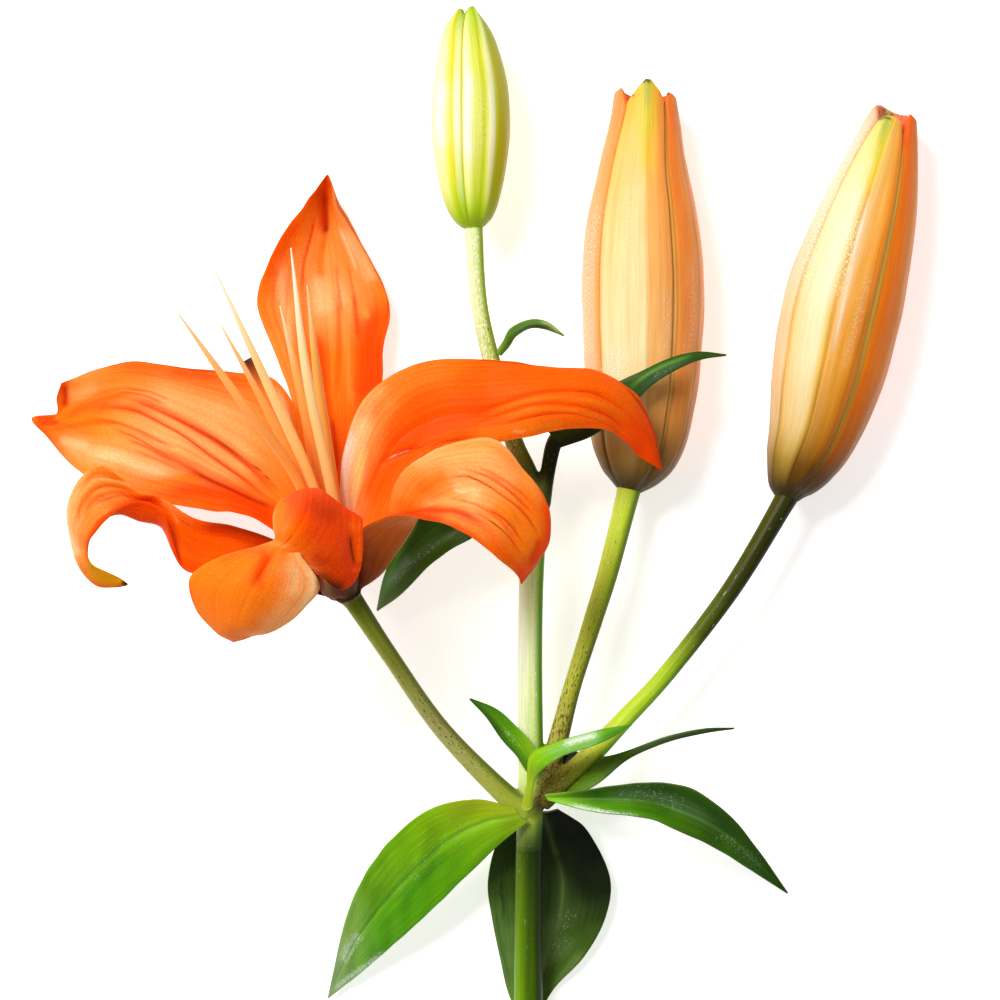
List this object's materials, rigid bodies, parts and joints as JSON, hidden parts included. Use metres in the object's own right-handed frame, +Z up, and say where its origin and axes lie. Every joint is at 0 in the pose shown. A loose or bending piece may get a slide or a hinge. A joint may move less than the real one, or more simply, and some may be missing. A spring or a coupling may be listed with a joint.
{
  "type": "cut asiatic lily stem",
  "caption": "Cut asiatic lily laid on its side: an orange and cream recurved bloom, closed buds, leaves and bracts on a forked green stem.",
  "frame": {"origin": "middle of the plant's outline, on the surface that it lies on", "axes": "+Y along the stem from the cut end toward the buds, +Z up from the surface, +X to the right as seen from above"},
  "size_m": [0.2168, 0.2818, 0.0985],
  "materials": {
    "petal": "satin",
    "filament": "satin",
    "ripe_bud": "satin",
    "green_bud": "satin",
    "leaf": "satin",
    "stem_skin": "satin"
  },
  "bodies": {
    "root": {"stem": "stem_skin", "petal_top": "petal", "petal_left": "petal", "petal_curled": "petal", "petal_front": "petal", "petal_lower_right": "petal", "petal_upper_right": "petal", "stamens": "filament", "pistil": "filament", "bud_green": "green_bud", "bud_middle": "ripe_bud", "bud_right": "ripe_bud", "leaf_left": "leaf", "leaf_right": "leaf", "leaf_back": "leaf", "leaf_behind_bloom": "leaf", "leaf_upper": "leaf", "bract_centre": "leaf", "bract_left": "leaf", "bract_right": "leaf", "bract_upper": "leaf"}
  },
  "joints": []
}
